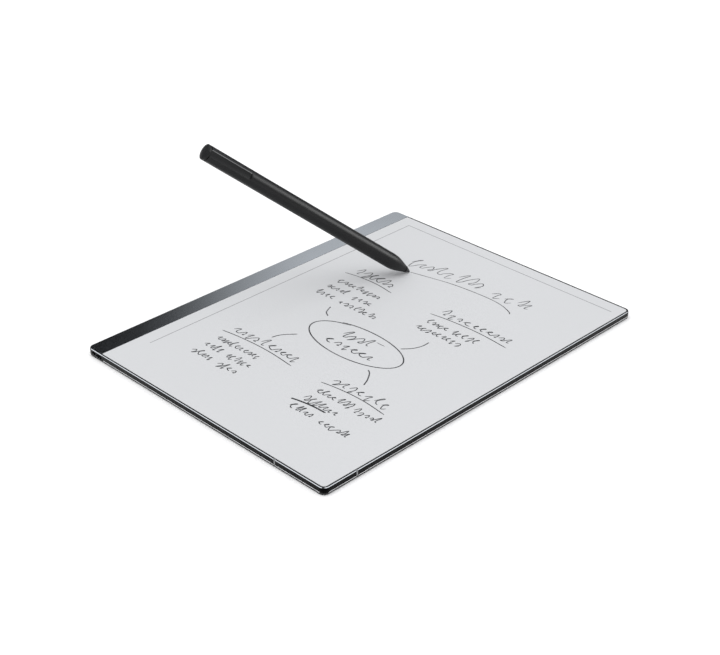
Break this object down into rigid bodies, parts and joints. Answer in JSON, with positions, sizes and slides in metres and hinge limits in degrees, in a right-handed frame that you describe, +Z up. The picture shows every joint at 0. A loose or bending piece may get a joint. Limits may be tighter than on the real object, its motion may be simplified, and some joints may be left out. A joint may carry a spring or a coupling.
{
  "type": "note tablet with stylus",
  "caption": "Thin flat note tablet with a matte paper-like screen, a metal spine strip and edge frame, and a round tapered stylus standing on the screen.",
  "frame": {"origin": "on the table, under the middle of the tablet", "axes": "+Z up from the table, +Y to the top of the page along the tablet's length, +X to the reader's right, away from the spine strip"},
  "size_m": [0.187, 0.246, 0.1051],
  "materials": {
    "spine_metal": "anodised, fine satin",
    "frame_metal": "black anodised, polished edges",
    "break_plastic": "satin",
    "cover_plastic": "fine moulded grain",
    "screen_film": "matte, paper-like",
    "panel_foil": "matte",
    "seal_rubber": "matte",
    "foot_rubber": "matte",
    "circuit_board": "solder mask",
    "chip_resin": "moulded",
    "inner_steel": "brushed",
    "cell_foil": "soft foil",
    "flex_film": "polyimide",
    "contact_gold": "gold plated",
    "magnet_nickel": "nickel plated",
    "coil_copper": "enamelled copper",
    "stylus_plastic": "soft matte",
    "nib_plastic": "hard felt, matte"
  },
  "bodies": {
    "tablet": {"frame_corner": "frame_metal", "frame_bottom_rail": "frame_metal", "frame_side_rail": "frame_metal", "frame_break_bottom": "break_plastic", "frame_break_right": "break_plastic", "spine_bar": "spine_metal", "rear_cover": "cover_plastic", "screen_cover": "screen_film", "screen_gasket": "seal_rubber", "display_panel": "panel_foil", "pen_digitizer": "circuit_board", "digitizer_shield": "cell_foil", "chassis_plate": "inner_steel", "battery": "cell_foil", "battery_board": "circuit_board", "main_board": "circuit_board", "processor": "chip_resin", "memory_chip": "chip_resin", "storage_chip": "chip_resin", "power_chip": "chip_resin", "wireless_module": "chip_resin", "shield_can": "inner_steel", "corner_antenna": "coil_copper", "display_flex": "flex_film", "digitizer_flex": "flex_film", "usb_shell": "inner_steel", "usb_tongue": "chip_resin", "usb_board": "circuit_board", "usb_flex": "flex_film", "contact_holder": "break_plastic", "power_switch": "chip_resin", "contact_1": "contact_gold", "contact_2": "contact_gold", "contact_3": "contact_gold", "contact_4": "contact_gold", "contact_5": "contact_gold", "foot_1": "foot_rubber", "foot_2": "foot_rubber", "foot_3": "foot_rubber", "foot_4": "foot_rubber", "spine_magnet_1": "magnet_nickel", "dock_magnet_1": "magnet_nickel", "spine_magnet_2": "magnet_nickel", "dock_magnet_2": "magnet_nickel"},
    "power_button": {"power_button": "spine_metal"},
    "stylus": {"stylus_barrel": "stylus_plastic", "nib_coil": "coil_copper", "nib_sensor": "inner_steel", "pen_board": "circuit_board", "pen_carrier": "chip_resin", "pen_magnet_1": "magnet_nickel", "pen_magnet_2": "magnet_nickel", "eraser_sensor": "inner_steel", "eraser_coil": "coil_copper"},
    "nib": {"nib": "nib_plastic"},
    "eraser": {"eraser_cap": "stylus_plastic"}
  },
  "joints": [
    {"name": "stylus_lift", "type": "slide", "parent": "tablet", "child": "stylus", "axis": [0, 0, 1], "range_m": [0, 0.12]},
    {"name": "power_button_press", "type": "slide", "parent": "tablet", "child": "power_button", "axis": [0, -1, 0], "range_m": [0, 0.0003], "stiffness_N_per_m": 4000},
    {"name": "nib_press", "type": "slide", "parent": "stylus", "child": "nib", "axis": [-0.323, -0.7174, 0.6173], "range_m": [0, 0.0003], "stiffness_N_per_m": 8000},
    {"name": "eraser_press", "type": "slide", "parent": "stylus", "child": "eraser", "axis": [0.323, 0.7174, -0.6173], "range_m": [0, 0.0003], "stiffness_N_per_m": 5000}
  ]
}
